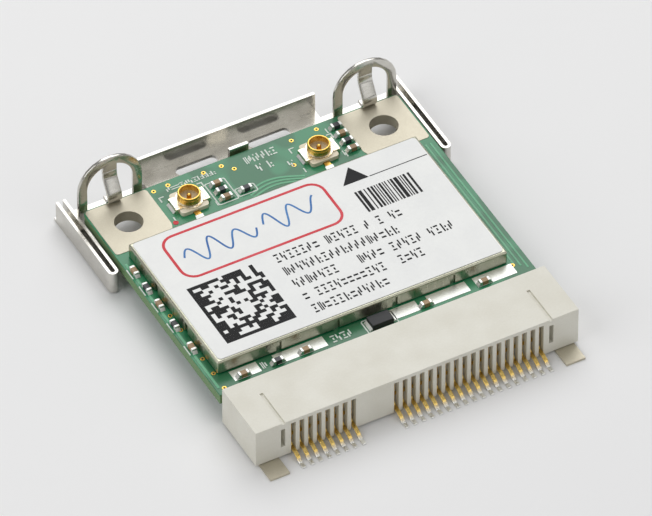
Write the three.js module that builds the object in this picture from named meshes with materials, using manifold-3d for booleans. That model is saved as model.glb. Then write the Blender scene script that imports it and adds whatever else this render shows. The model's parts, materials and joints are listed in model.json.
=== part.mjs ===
// A half-length mini-card wireless adapter, seated in its 52-contact edge socket and held down
// by a spring latch.
//
// Millimetres, +Z up. The working frame has x = 0 on the card's centre line, y = 0 at the card's
// connector edge with +Y towards the latch, and z = 0 on the host board that the socket and the
// latch are soldered to. The last lines move it all so that the origin is at the bottom centre.
//
// The socket and the latch base stay put. The card tilts up about the socket's lower lip, and
// each release loop flexes back about its foot and takes its hook off the card's rear edge.

import * as THREE from "three";
import { mergeVertices } from "three/addons/utils/BufferGeometryUtils.js";
import Module from "manifold-3d";

const wasm = await Module();
wasm.setup();

// ---------------------------------------------------------------- driving dimensions

const ARC_STEPS = 12; // steps in a quarter turn
const PAST = 1; // how far a cutting tool runs past what it cuts

// The card, to the half-length mini-card outline.
const CARD_WIDTH = 30;
const CARD_LENGTH = 26.8;
const CARD_THICK = 1;
const CARD_CORNER_R = 0.6;
const CARD_LIFT = 1.7; // from the host board to the card's underside
const HOLE_R = 1.3;
const HOLE_INSET = 2.9; // from both edges to the centre of a hole
const TONGUE_LENGTH = 2.4; // the narrower part that goes into the socket
const TONGUE_MARGIN = 1.25; // from the end contacts' centres to the tongue's sides
const CARD_TOP = CARD_LIFT + CARD_THICK;

// The contacts: two banks on each face, with the key between them.
const PITCH = 0.8;
const SHORT_BANK = 8;
const LONG_BANK = 18;
const KEY_PITCHES = 5; // from the short bank's last contact to the long bank's first
const KEY_WIDTH = 1.5;
const KEY_DEPTH = 2.7;
const FINGER_WIDTH = 0.6;
const FINGER_LENGTH = 2.1;
const FINGER_INSET = 0.15; // from the card's edge to the fingers
const PLATING_BAR = 0.1; // what is left of the bar that the fingers were plated by
const COPPER = 0.04; // thickness of a plated pad

const FIELD = PITCH * (SHORT_BANK - 1 + KEY_PITCHES + LONG_BANK - 1);
const BANKS = [
  { name: "short_bank", first: -FIELD / 2, count: SHORT_BANK },
  { name: "long_bank", first: FIELD / 2 - PITCH * (LONG_BANK - 1), count: LONG_BANK },
];
const TONGUE_WIDTH = FIELD + 2 * TONGUE_MARGIN;
const KEY_X = (BANKS[0].first + PITCH * (SHORT_BANK - 1) + BANKS[1].first) / 2;

// The plated pads round the two holes.
const PAD_SIZE = 5.8;
const PAD_MARGIN = 0.15;
const PAD_CORNER_R = 1.4; // at the corner that faces the card's middle
const PAD_SMALL_R = 0.3; // at the other three
const PLATING = 0.06; // thickness of the plating in a hole
const HOLE_X = CARD_WIDTH / 2 - HOLE_INSET;
const HOLE_Y = CARD_LENGTH - HOLE_INSET;

// The shield can: a soldered frame, a lid that snaps over it, and the label on the lid.
const LID_MARGIN = { left: 1, right: 1.8, front: 4.6, rear: 6.4 }; // from the card's edges
const LID_HEIGHT = 1.36; // above the card
const LID_WALL = 0.15;
const LID_GAP = 0.12; // under the skirt
const FRAME_CLEARANCE = 0.04;
const FRAME_WALL = 0.2;
const FRAME_FLANGE = 0.9;
const SKIRT_SLOT = 0.5;
const SKIRT_SLOTS = { across: 4, along: 2 }; // how many on each wall
const LABEL_THICK = 0.08;
const LABEL_BORDER = 0.22;
const LABEL_CORNER_R = 0.35;

// The antenna jacks.
const JACK_XS = { left: 5.5 - HOLE_X, right: HOLE_X - 6.4 };
const JACK_Y = HOLE_Y - 0.35;
const JACK_BASE = 2.6;
const JACK_BASE_HEIGHT = 0.38;
const JACK_CORNER_R = 0.3;
const JACK_RING_R = 1;
const JACK_RING_WALL = 0.16;
const JACK_HEIGHT = 1.25;
const JACK_FLANGE_R = 1.2;
const JACK_FLANGE = 0.12;
const JACK_WING_WIDTH = 1.5;
const JACK_WING_REACH = 1.62;
const JACK_PIN_R = 0.25;
const JACK_PIN_TOP = 1.05;
const JACK_PIN_TIP = { r: 0.1, length: 0.15 };
const JACK_GROOVE = { depth: 0.06, from: 0.45, deepest: 0.32, to: 0.18 }; // down from the ring's top
const JACK_TAIL_WIDTH = 0.55;
const JACK_TAIL_REACH = 1.75;
const JACK_TAIL_THICK = 0.14;

// The socket.
const SOCKET_END = 2.25; // from the tongue's sides to the socket's ends
const SOCKET_WIDTH = TONGUE_WIDTH + 2 * SOCKET_END;
const SOCKET_FRONT = -4;
const SOCKET_REAR = 1.8;
const SOCKET_HEIGHT = CARD_TOP + 1.3;
const SOCKET_LIFT = 0.25; // the housing's underside stands clear of the host board
const SLOT_CLEARANCE = 0.1; // beside the tongue
const SLOT_END = -0.5;
const SLOT_FLOOR = CARD_LIFT - 0.65;
const SLOT_CEILING = CARD_TOP + 0.15;
const SLOT_MOUTH_TOP = CARD_TOP + 0.5; // the ceiling slopes up to here, so that the card can tilt
const SLOT_SLOPE_START = 1;
const LIP_FRONT = 1.2; // the lower lip that the card rests on and tilts about
const LIP_CLEARANCE = 0.02;
const KEY_RIB_CLEARANCE = 0.1;
const KEY_RIB_REAR = 1.6;
const KEY_RIB_ROOT = 0.5; // how far the rib runs into the slot's end wall
const OPENING_LAP = 0.1; // how far one hollow reaches into the next, or a rib into a wall
const HEEL_ROOM = 0.45; // above the slot's floor, for the lower contacts' heels
const GROOVE_WIDTH = 0.44;
const GROOVE_TOP = SOCKET_HEIGHT - 0.38;
const RIB_DEPTH = 0.45; // the front ribs, in front of the contacts
const POCKET_REAR = -3.15;
const POCKET_TOP = CARD_TOP + 0.66;
const UPPER_POCKET_REAR = SLOT_SLOPE_START + 0.35;
const BANK_MARGIN = 0.4; // from a bank's end contact to the end of its pocket

// Contacts and hold-downs, in bent strip.
const CONTACT_WIDTH = 0.34;
const CONTACT_THICK = 0.15;
const CONTACT_BEND_R = 0.25;
const CONTACT_GAP = 0.01; // between a contact's bump and its finger
const TAIL_REACH = 1.9; // how far the tails and feet stand out in front of the housing
const CARRIER = 0.3; // height of the strip that joins a bank's contacts inside the housing
const HOLD_THICK = 0.2;
const HOLD_WIDTH = 1.8;
const HOLD_INSET = 0.35; // from the housing's end
const HOLD_TOP = 2.8;
const HOLD_BACK = 0.45; // from the housing's front to the hold-down's upright
const HOLD_CLEARANCE = 0.05;
const LOWER_POCKET = { half: 1.35, step: 1.1, rear: 1.72, door: 0.4 }; // the lower contacts' hollow
const ARM_ROOM = { below: 0.18, above: 0.27 }; // round the lower contacts' arms
const TOP_GROOVE = { width: 0.3, depth: 0.15, rear: -0.1 }; // moulded in the top at each end
const WINDOW = { width: 0.4, depth: 0.8, bottom: 1.3, below_top: 0.7 }; // in the front at each end

// The latch, in one sheet.
const SHEET = 0.3;
const REAR_GAP = 0.35; // behind the card's rear edge, before the loops
const SIDE_GAP = 0.3; // beside the card, before the side springs
const LOOP_HALF = 3;
const LOOP_STRIP = 0.85;
const LOOP_RISE = 4.7; // above the card
const LOOP_FOOT_GAP = 0.06;
const TONGUE_HALF = 0.65; // half the width of the hook tongue
const TONGUE_STUB = 0.65; // of the tongue that is left on the loop's arch
const HOOK_REACH = 0.6; // over the card's rear edge
const HOOK_GAP = 0.04; // above the corner pad
const LATCH_DEPTH = 2.7; // behind the card's rear edge
const LATCH_REAR = CARD_LENGTH + LATCH_DEPTH;
const SHELF_SIDE_GAP = 0.7; // between a loop's leg and the end of the shelf
const SHELF_HALF = HOLE_X - LOOP_HALF - SHELF_SIDE_GAP;
const SHELF_CORNER_R = 0.5;
const SHELF_UNDER = 1.3; // how far the shelf reaches under the card
const SHELF_GAP = 0.02; // under the corner pads
const REAR_WALL_TOP = CARD_TOP + 0.9;
const SHELF_SLOTS = { from: 1.5, to: 5.4, width: 1 };
const BACK_STOP = { half: 0.9, gap: 0.25, top: CARD_TOP + 0.45 };
const SIDE_STRIP = 0.25;
const SIDE_STRIP_TOP = 2.3;
const SIDE_BEND_R = 0.33;
const SIDE_REACH = 7.3; // from the card's rear edge forward

// ---------------------------------------------------------------- materials

const paint = (color, roughness, metalness = 0) =>
  new THREE.MeshStandardMaterial({ color, roughness, metalness });
const SOLDER_MASK = paint(0x1f7a4a, 0.35);
const GOLD = paint(0xd9a441, 0.3, 1);
const TIN = paint(0xcfc8b8, 0.35, 1);
const SHIELD_STEEL = paint(0xb9bcb8, 0.35, 1);
const SPRING_STEEL = paint(0xb8b6b2, 0.25, 1);
const LABEL_FILM = paint(0xe9eaf0, 0.55);
const IVORY = paint(0xe0dccd, 0.55);
const JACK_PLASTIC = paint(0xe8dcc0, 0.5);
const EPOXY = paint(0x1d1d20, 0.6);
const CERAMIC = paint(0xa58a68, 0.55);

// ---------------------------------------------------------------- solids

// A closed geometry as a manifold-3d solid.
function solid(geometry) {
  const bare = geometry.index ? geometry.toNonIndexed() : geometry.clone();
  bare.deleteAttribute("normal");
  bare.deleteAttribute("uv");
  const merged = mergeVertices(bare, 1e-4);
  const vertProperties = merged.attributes.position.array;
  const triVerts = new Uint32Array(merged.index.array);
  return new wasm.Manifold(new wasm.Mesh({ numProp: 3, vertProperties, triVerts }));
}

// A manifold-3d solid as a geometry.
function geometryOf(made) {
  const { vertProperties, triVerts } = made.getMesh();
  const geometry = new THREE.BufferGeometry();
  geometry.setAttribute("position", new THREE.BufferAttribute(vertProperties, 3));
  geometry.setIndex(new THREE.BufferAttribute(triVerts, 1));
  geometry.computeVertexNormals();
  return geometry;
}

const join = (geometries) =>
  geometryOf(geometries.map(solid).reduce((whole, piece) => whole.add(piece)));
const cut = (geometry, tools) =>
  geometryOf(tools.map(solid).reduce((left, tool) => left.subtract(tool), solid(geometry)));

function block([x0, x1], [y0, y1], [z0, z1]) {
  const box = new THREE.BoxGeometry(x1 - x0, y1 - y0, z1 - z0);
  return box.translate((x0 + x1) / 2, (y0 + y1) / 2, (z0 + z1) / 2);
}

const outline = (points) => new THREE.Shape(points.map(([u, v]) => new THREE.Vector2(u, v)));

// A shape's arcs are divided into twice its curveSegments.
function extrude(shape, depth) {
  return new THREE.ExtrudeGeometry(shape, { depth, bevelEnabled: false, curveSegments: ARC_STEPS / 2 });
}

// A flat shape drawn in x and y, from z0 up to z1.
const plate = (shape, [z0, z1]) => extrude(shape, z1 - z0).translate(0, 0, z0);

// A profile drawn in y and z, run along x.
function alongX(shape, [x0, x1]) {
  const turn = new THREE.Matrix4().makeBasis(
    new THREE.Vector3(0, 1, 0),
    new THREE.Vector3(0, 0, 1),
    new THREE.Vector3(1, 0, 0),
  );
  return extrude(shape, x1 - x0).applyMatrix4(turn).translate(x0, 0, 0);
}

// A profile drawn in x and z, run along y.
function alongY(shape, [y0, y1]) {
  return extrude(shape, y1 - y0).rotateX(Math.PI / 2).translate(0, y1, 0);
}

// A circle in four quarter turns, so that every circle is divided alike.
function circle(x, y, r, path = new THREE.Path()) {
  const quarter = Math.PI / 2;
  [0, 1, 2, 3].forEach((i) => path.absarc(x, y, r, i * quarter, (i + 1) * quarter, false));
  return path;
}

// A rectangle with one radius at each corner, anticlockwise from the lower left.
function rounded([x0, x1], [y0, y1], [r0, r1, r2, r3]) {
  const shape = new THREE.Shape();
  const turn = Math.PI / 2;
  shape.moveTo(x0 + r0, y0);
  shape.lineTo(x1 - r1, y0);
  if (r1) shape.absarc(x1 - r1, y0 + r1, r1, -turn, 0, false);
  shape.lineTo(x1, y1 - r2);
  if (r2) shape.absarc(x1 - r2, y1 - r2, r2, 0, turn, false);
  shape.lineTo(x0 + r3, y1);
  if (r3) shape.absarc(x0 + r3, y1 - r3, r3, turn, 2 * turn, false);
  shape.lineTo(x0, y0 + r0);
  if (r0) shape.absarc(x0 + r0, y0 + r0, r0, 2 * turn, 3 * turn, false);
  return shape;
}

// The outline of a bent strip whose centre line runs through the points, each bend in steps.
function strip(points, thick, bendRadius, steps = 3) {
  const corners = points.map(([u, v]) => new THREE.Vector2(u, v));
  const line = new THREE.Path().moveTo(corners[0].x, corners[0].y);
  corners.slice(1, -1).forEach((corner, i) => {
    const [before, after] = [corners[i], corners[i + 2]];
    const reach = Math.min(bendRadius, corner.distanceTo(before) / 2, corner.distanceTo(after) / 2);
    const toward = (end) => corner.clone().add(end.clone().sub(corner).setLength(reach));
    const [start, finish] = [toward(before), toward(after)];
    line.lineTo(start.x, start.y);
    line.quadraticCurveTo(corner.x, corner.y, finish.x, finish.y);
  });
  line.lineTo(corners.at(-1).x, corners.at(-1).y);
  const middle = line.getPoints(steps).filter((p, i, all) => !i || p.distanceTo(all[i - 1]) > 1e-6);
  const side = (sign) =>
    middle.map((p, i) => {
      const into = p.clone().sub(middle[Math.max(i - 1, 0)]).normalize();
      const out = middle[Math.min(i + 1, middle.length - 1)].clone().sub(p).normalize();
      const along = into.clone().add(out).normalize();
      const miter = 1 / Math.max(along.dot(i ? into : out), 0.5);
      const offset = (sign * thick * miter) / 2;
      return p.clone().add(new THREE.Vector2(-along.y, along.x).multiplyScalar(offset));
    });
  return new THREE.Shape([...side(-1), ...side(1).reverse()]);
}

// ---------------------------------------------------------------- the group

const adapter = new THREE.Group();

function add(name, geometry, material) {
  const mesh = new THREE.Mesh(geometry, material);
  mesh.name = name;
  adapter.add(mesh);
}

const SIDES = [
  { side: "left", sign: -1 },
  { side: "right", sign: 1 },
];

// The same span on the left (sign -1) or the right (sign 1) of the centre line.
const mirrored = (sign, near, far) => (sign < 0 ? [-far, -near] : [near, far]);

// ---------------------------------------------------------------- the card's board

function boardShape() {
  const [half, tongue, keyR] = [CARD_WIDTH / 2, TONGUE_WIDTH / 2, KEY_WIDTH / 2];
  const shape = new THREE.Shape();
  shape.moveTo(-tongue, 0);
  shape.lineTo(KEY_X - keyR, 0);
  shape.lineTo(KEY_X - keyR, KEY_DEPTH - keyR);
  shape.absarc(KEY_X, KEY_DEPTH - keyR, keyR, Math.PI, 0, true);
  shape.lineTo(KEY_X + keyR, 0);
  shape.lineTo(tongue, 0);
  shape.lineTo(tongue, TONGUE_LENGTH);
  shape.lineTo(half, TONGUE_LENGTH);
  shape.lineTo(half, CARD_LENGTH - CARD_CORNER_R);
  const rear = CARD_LENGTH - CARD_CORNER_R;
  shape.absarc(half - CARD_CORNER_R, rear, CARD_CORNER_R, 0, Math.PI / 2, false);
  shape.lineTo(CARD_CORNER_R - half, CARD_LENGTH);
  shape.absarc(CARD_CORNER_R - half, rear, CARD_CORNER_R, Math.PI / 2, Math.PI, false);
  shape.lineTo(-half, TONGUE_LENGTH);
  shape.lineTo(-tongue, TONGUE_LENGTH);
  SIDES.forEach(({ sign }) => shape.holes.push(circle(sign * HOLE_X, HOLE_Y, HOLE_R)));
  return shape;
}

add("card_board", plate(boardShape(), [CARD_LIFT, CARD_TOP]), SOLDER_MASK);

// One bank of gold fingers, joined along the card's edge by what is left of the plating bar.
function fingerBank({ first, count }, heights) {
  const fingers = [...Array(count).keys()].map((i) => {
    const x = first + i * PITCH;
    const across = [x - FINGER_WIDTH / 2, x + FINGER_WIDTH / 2];
    return block(across, [FINGER_INSET, FINGER_INSET + FINGER_LENGTH], heights);
  });
  const ends = [first, first + (count - 1) * PITCH];
  const bar = block(ends, [FINGER_INSET, FINGER_INSET + PLATING_BAR], heights);
  return join([bar, ...fingers]);
}

for (const bank of BANKS) {
  add(`top_fingers_${bank.name}`, fingerBank(bank, [CARD_TOP, CARD_TOP + COPPER]), GOLD);
  add(`bottom_fingers_${bank.name}`, fingerBank(bank, [CARD_LIFT - COPPER, CARD_LIFT]), GOLD);
}

// The plated pad round a hole: a square on each face, joined through the hole.
function cornerPad(sign) {
  const outer = CARD_WIDTH / 2 - PAD_MARGIN;
  const across = mirrored(sign, outer - PAD_SIZE, outer);
  const small = PAD_SMALL_R;
  const radii = sign < 0 ? [small, PAD_CORNER_R, small, small] : [PAD_CORNER_R, small, small, small];
  const pad = rounded(across, [CARD_LENGTH - PAD_MARGIN - PAD_SIZE, CARD_LENGTH - PAD_MARGIN], radii);
  pad.holes.push(circle(sign * HOLE_X, HOLE_Y, HOLE_R - PLATING));
  const barrel = circle(sign * HOLE_X, HOLE_Y, HOLE_R, new THREE.Shape());
  barrel.holes.push(circle(sign * HOLE_X, HOLE_Y, HOLE_R - PLATING));
  return join([
    plate(pad, [CARD_TOP, CARD_TOP + COPPER]),
    plate(pad, [CARD_LIFT - COPPER, CARD_LIFT]),
    plate(barrel, [CARD_LIFT - COPPER, CARD_TOP + COPPER]),
  ]);
}

for (const { side, sign } of SIDES) add(`${side}_corner_pad`, cornerPad(sign), TIN);

// ---------------------------------------------------------------- the shield can

const inset = ([low, high], by) => [low + by, high - by];
const along = ([low, high], share) => low + share * (high - low);
const evenly = (span, count) => [...Array(count).keys()].map((i) => along(span, (i + 1) / (count + 1)));
const LID_X = [LID_MARGIN.left - CARD_WIDTH / 2, CARD_WIDTH / 2 - LID_MARGIN.right];
const LID_Y = [LID_MARGIN.front, CARD_LENGTH - LID_MARGIN.rear];
const LID_TOP = CARD_TOP + LID_HEIGHT;

function shieldFrame() {
  const outer = LID_WALL + FRAME_CLEARANCE;
  const inner = outer + FRAME_WALL;
  const top = LID_TOP - LID_WALL - FRAME_CLEARANCE;
  const wall = block(inset(LID_X, outer), inset(LID_Y, outer), [CARD_TOP, top]);
  const flange = outer + FRAME_FLANGE;
  return cut(wall, [
    block(inset(LID_X, inner), inset(LID_Y, inner), [CARD_TOP - PAST, top - LID_WALL]),
    block(inset(LID_X, flange), inset(LID_Y, flange), [CARD_TOP - PAST, top + PAST]),
  ]);
}

// The lid: a drawn tray, upside down, with a slot through its skirt beside each snap tab.
function shieldLid() {
  const skirt = [CARD_TOP + LID_GAP, LID_TOP - 2 * LID_WALL];
  const slotsX = evenly(LID_X, SKIRT_SLOTS.across).map((x) =>
    block([x, x + SKIRT_SLOT], inset(LID_Y, -PAST), [CARD_TOP, skirt[1]]));
  const slotsY = evenly(LID_Y, SKIRT_SLOTS.along).map((y) =>
    block(inset(LID_X, -PAST), [y, y + SKIRT_SLOT], [CARD_TOP, skirt[1]]));
  const inside = block(inset(LID_X, LID_WALL), inset(LID_Y, LID_WALL), [CARD_TOP, LID_TOP - LID_WALL]);
  return cut(block(LID_X, LID_Y, [skirt[0], LID_TOP]), [inside, ...slotsX, ...slotsY]);
}

add("shield_frame", shieldFrame(), SHIELD_STEEL);
add("shield_lid", shieldLid(), SHIELD_STEEL);
const LABEL_CORNERS = Array(4).fill(LABEL_CORNER_R);
add("label", plate(rounded(inset(LID_X, LABEL_BORDER), inset(LID_Y, LABEL_BORDER), LABEL_CORNERS),
  [LID_TOP, LID_TOP + LABEL_THICK]), LABEL_FILM);

// ---------------------------------------------------------------- the antenna jacks

// The base has its own origin at the jack's centre, on the card's face.
function jackBase() {
  const half = JACK_BASE / 2;
  const square = rounded([-half, half], [-half, half], Array(4).fill(JACK_CORNER_R));
  square.holes.push(circle(0, 0, JACK_PIN_R));
  const tail = JACK_TAIL_WIDTH / 2 + FRAME_CLEARANCE;
  return cut(plate(square, [0, JACK_BASE_HEIGHT]), [
    block([-tail, tail], [-half - PAST, 0], [-PAST, JACK_TAIL_THICK + FRAME_CLEARANCE]),
  ]);
}

// The ring that the antenna plug snaps over, on a flange with a solder wing at each side.
function jackShell() {
  const ring = new THREE.LatheGeometry(
    [
      [JACK_RING_R - JACK_RING_WALL, JACK_BASE_HEIGHT],
      [JACK_FLANGE_R, JACK_BASE_HEIGHT],
      [JACK_FLANGE_R, JACK_BASE_HEIGHT + JACK_FLANGE],
      [JACK_RING_R, JACK_BASE_HEIGHT + JACK_FLANGE],
      [JACK_RING_R, JACK_HEIGHT - JACK_GROOVE.from],
      [JACK_RING_R - JACK_GROOVE.depth, JACK_HEIGHT - JACK_GROOVE.deepest],
      [JACK_RING_R, JACK_HEIGHT - JACK_GROOVE.to],
      [JACK_RING_R - JACK_GROOVE.depth, JACK_HEIGHT],
      [JACK_RING_R - JACK_RING_WALL, JACK_HEIGHT],
      [JACK_RING_R - JACK_RING_WALL, JACK_BASE_HEIGHT],
    ].map(([r, z]) => new THREE.Vector2(r, z)),
    4 * ARC_STEPS,
  ).rotateX(Math.PI / 2);
  const wings = [-1, 1].map((sign) => {
    const inner = JACK_BASE / 2 + FRAME_CLEARANCE;
    const half = JACK_WING_WIDTH / 2;
    return join([
      block(mirrored(sign, inner, JACK_WING_REACH), [-half, half], [0, JACK_BASE_HEIGHT + JACK_FLANGE]),
      block(mirrored(sign, JACK_RING_R, JACK_WING_REACH), [-half, half],
        [JACK_BASE_HEIGHT, JACK_BASE_HEIGHT + JACK_FLANGE]),
    ]);
  });
  return join([ring, ...wings]);
}

// The centre pin, with the flat tail that is soldered to the card.
function jackPin() {
  const r = JACK_PIN_R - FRAME_CLEARANCE;
  const pin = new THREE.LatheGeometry(
    [[0, 0], [r, 0], [r, JACK_PIN_TOP - JACK_PIN_TIP.length], [JACK_PIN_TIP.r, JACK_PIN_TOP],
      [0, JACK_PIN_TOP]].map(([u, z]) => new THREE.Vector2(u, z)),
    2 * ARC_STEPS,
  ).rotateX(Math.PI / 2);
  const half = JACK_TAIL_WIDTH / 2;
  return join([pin, block([-half, half], [-JACK_TAIL_REACH, 0], [0, JACK_TAIL_THICK])]);
}

for (const { side } of SIDES) {
  const place = (geometry) => geometry.translate(JACK_XS[side], JACK_Y, CARD_TOP);
  add(`${side}_jack_base`, place(jackBase()), JACK_PLASTIC);
  add(`${side}_jack_shell`, place(jackShell()), GOLD);
  add(`${side}_jack_pin`, place(jackPin()), GOLD);
}

// ---------------------------------------------------------------- chips on the card

// A chip standing on the card's top face, by its centre, size and height.
function chip(name, [x, y], [width, length, height], material) {
  const across = [x - width / 2, x + width / 2];
  const along = [y - length / 2, y + length / 2];
  add(name, block(across, along, [CARD_TOP, CARD_TOP + height]), material);
}

// Under the shield, measured from the can's left, front and rear walls.
const [CAN_LEFT, CAN_FRONT, CAN_REAR] = [LID_X[0], LID_Y[0], LID_Y[1]];
const CAN_MIDDLE = along(LID_Y, 0.5);
const HIDDEN_CHIPS = [
  { name: "radio_chip", at: [CAN_LEFT + 9.4, CAN_MIDDLE], size: [9, 9, 0.85], material: EPOXY },
  { name: "left_amplifier", at: [CAN_LEFT + 2.5, CAN_REAR - 2.9], size: [3, 4, 0.75], material: EPOXY },
  { name: "right_amplifier", at: [CAN_LEFT + 17.2, CAN_REAR - 2.4], size: [4, 3, 0.75], material: EPOXY },
  { name: "crystal", at: [CAN_LEFT + 17.2, CAN_MIDDLE], size: [3.2, 2.5, 0.7], material: TIN },
  { name: "memory_chip", at: [CAN_LEFT + 17.2, CAN_FRONT + 2.4], size: [3, 3, 0.75], material: EPOXY },
  { name: "power_inductor", at: [CAN_LEFT + 22.6, CAN_FRONT + 2.6], size: [3, 3, 1], material: EPOXY },
  { name: "regulator_chip", at: [CAN_LEFT + 22.6, CAN_REAR - 2.6], size: [3, 3, 0.8], material: EPOXY },
];
for (const { name, at, size, material } of HIDDEN_CHIPS) chip(name, at, size, material);

// Small ceramic parts, along x or along y, on the top face or (face -1) the underside.
const SMALL = { long: 1, short: 0.5, height: 0.45 };
const REAR_XS = [JACK_XS.left + 3, JACK_XS.left + 4.9];
const PAD_TO_PARTS = 0.6; // from the right corner pad to the middle of the parts beside it
const JACK_SIDE_X = CARD_WIDTH / 2 - PAD_MARGIN - PAD_SIZE - PAD_TO_PARTS;
const SIDE_SPOTS = [0.23, 0.42, 0.59, 0.73, 0.87].map((share) => along(LID_Y, share));
const EDGE_XS = [-12.2, -9, -6.4, 4.9, 10.4];
const UNDER_XS = [-7, -2.2, 4, 9.4];
const SMALL_PARTS = [
  { where: "rear", at: [0.4, -0.5, -1.4].map((y) => [REAR_XS[0], HOLE_Y + y]), along: "x", face: 1 },
  { where: "jack", at: [1.7, 0.7, -0.3, -1.3].map((y) => [JACK_SIDE_X, HOLE_Y + y]), along: "x", face: 1 },
  { where: "side", at: SIDE_SPOTS.map((y) => [CAN_LEFT - 0.5, y]), along: "y", face: 1 },
  { where: "edge", at: EDGE_XS.map((x) => [x, CAN_FRONT - 1.1]), along: "x", face: 1 },
  { where: "under", at: UNDER_XS.map((x) => [x, CAN_FRONT + 5]), along: "y", face: -1 },
];
SMALL_PARTS[0].at.push([REAR_XS[1], HOLE_Y - 1.3]);
for (const { where, at, along: axis, face } of SMALL_PARTS) {
  const [width, length] = axis === "x" ? [SMALL.long, SMALL.short] : [SMALL.short, SMALL.long];
  const z = face > 0 ? [CARD_TOP, CARD_TOP + SMALL.height] : [CARD_LIFT - SMALL.height, CARD_LIFT];
  at.forEach(([x, y], i) => {
    const spans = [[x - width / 2, x + width / 2], [y - length / 2, y + length / 2]];
    add(`${where}_capacitor_${i + 1}`, block(...spans, z), CERAMIC);
  });
}
chip("edge_filter", [0.6, CAN_FRONT - 1.05], [2, 1.2, 0.6], EPOXY);

// ---------------------------------------------------------------- the socket

const bankSpan = ({ first, count }, margin) => [first - margin, first + (count - 1) * PITCH + margin];
const contactXs = ({ first, count }) => [...Array(count).keys()].map((i) => first + i * PITCH);
const LIP_TOP = CARD_LIFT - COPPER - LIP_CLEARANCE;
const POCKET_FRONT = SOCKET_FRONT + RIB_DEPTH;
const LOWER_ARM_Z = SLOT_FLOOR - 0.37;
const END_GROOVE = FIELD / 2 + 0.75;

function socketHousing() {
  const half = SOCKET_WIDTH / 2;
  const body = block([-half, half], [SOCKET_FRONT, SOCKET_REAR], [SOCKET_LIFT, SOCKET_HEIGHT]);
  const slotHalf = TONGUE_WIDTH / 2 + SLOT_CLEARANCE;
  const slot = outline([
    [SLOT_END, SLOT_FLOOR], [LIP_FRONT, SLOT_FLOOR], [LIP_FRONT, LIP_TOP], [SOCKET_REAR + PAST, LIP_TOP],
    [SOCKET_REAR + PAST, SLOT_MOUTH_TOP], [SOCKET_REAR, SLOT_MOUTH_TOP],
    [SLOT_SLOPE_START, SLOT_CEILING], [SLOT_END, SLOT_CEILING],
  ]);
  const upperPocket = outline([
    [POCKET_FRONT, -PAST], [POCKET_REAR, -PAST], [POCKET_REAR, SLOT_CEILING - OPENING_LAP],
    [UPPER_POCKET_REAR, SLOT_CEILING - OPENING_LAP], [UPPER_POCKET_REAR, POCKET_TOP],
    [POCKET_FRONT, POCKET_TOP],
  ]);
  const [floor, roof] = [LOWER_ARM_Z - ARM_ROOM.below, LOWER_ARM_Z + ARM_ROOM.above];
  const { half: reach, step, rear, door } = LOWER_POCKET;
  const into = SLOT_FLOOR + OPENING_LAP; // the hollow opens into the slot
  const lowerPocket = outline([
    [-reach, floor], [reach, floor], [reach, -PAST], [SOCKET_REAR + PAST, -PAST],
    [SOCKET_REAR + PAST, door], [rear, door], [rear, roof], [step, roof], [step, into],
    [SLOT_END + OPENING_LAP, into], [SLOT_END + OPENING_LAP, SLOT_FLOOR + HEEL_ROOM],
    [-reach, SLOT_FLOOR + HEEL_ROOM],
  ]);
  const tools = [alongX(slot, [-slotHalf, slotHalf])];
  for (const bank of BANKS) {
    const across = bankSpan(bank, BANK_MARGIN);
    tools.push(alongX(upperPocket, across), alongX(lowerPocket, across));
    for (const x of contactXs(bank)) {
      tools.push(block([x - GROOVE_WIDTH / 2, x + GROOVE_WIDTH / 2],
        [SOCKET_FRONT - PAST, POCKET_FRONT + OPENING_LAP], [-PAST, GROOVE_TOP]));
    }
  }
  for (const { sign } of SIDES) {
    const [from, to] = [half - HOLD_INSET - HOLD_WIDTH, half - HOLD_INSET];
    const upright = SOCKET_FRONT + HOLD_BACK;
    tools.push(
      block(mirrored(sign, from - HOLD_CLEARANCE, to + HOLD_CLEARANCE),
        [upright - HOLD_CLEARANCE, upright + HOLD_THICK + HOLD_CLEARANCE],
        [-PAST, HOLD_TOP + HOLD_CLEARANCE]),
      block(mirrored(sign, END_GROOVE, END_GROOVE + TOP_GROOVE.width),
        [SOCKET_FRONT - PAST, TOP_GROOVE.rear], [SOCKET_HEIGHT - TOP_GROOVE.depth, SOCKET_HEIGHT + PAST]),
      block(mirrored(sign, END_GROOVE, END_GROOVE + WINDOW.width),
        [SOCKET_FRONT - PAST, SOCKET_FRONT + WINDOW.depth],
        [WINDOW.bottom, SOCKET_HEIGHT - WINDOW.below_top]),
    );
  }
  const ribHalf = KEY_WIDTH / 2 - KEY_RIB_CLEARANCE;
  const keyRib = block([KEY_X - ribHalf, KEY_X + ribHalf], [SLOT_END - KEY_RIB_ROOT, KEY_RIB_REAR],
    [SLOT_FLOOR - OPENING_LAP, SLOT_CEILING + OPENING_LAP]);
  return join([cut(body, tools), keyRib]);
}

add("socket_housing", socketHousing(), IVORY);

// One bank of contacts, bent from strip and joined by a carrier where the housing hides it.
function contactBank(bank, profile, carrier) {
  const bent = strip(profile, CONTACT_THICK, CONTACT_BEND_R, 1);
  const half = CONTACT_WIDTH / 2;
  const contacts = contactXs(bank).map((x) => alongX(bent, [x - half, x + half]));
  return join([block(bankSpan(bank, 0), ...carrier), ...contacts]);
}

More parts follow.
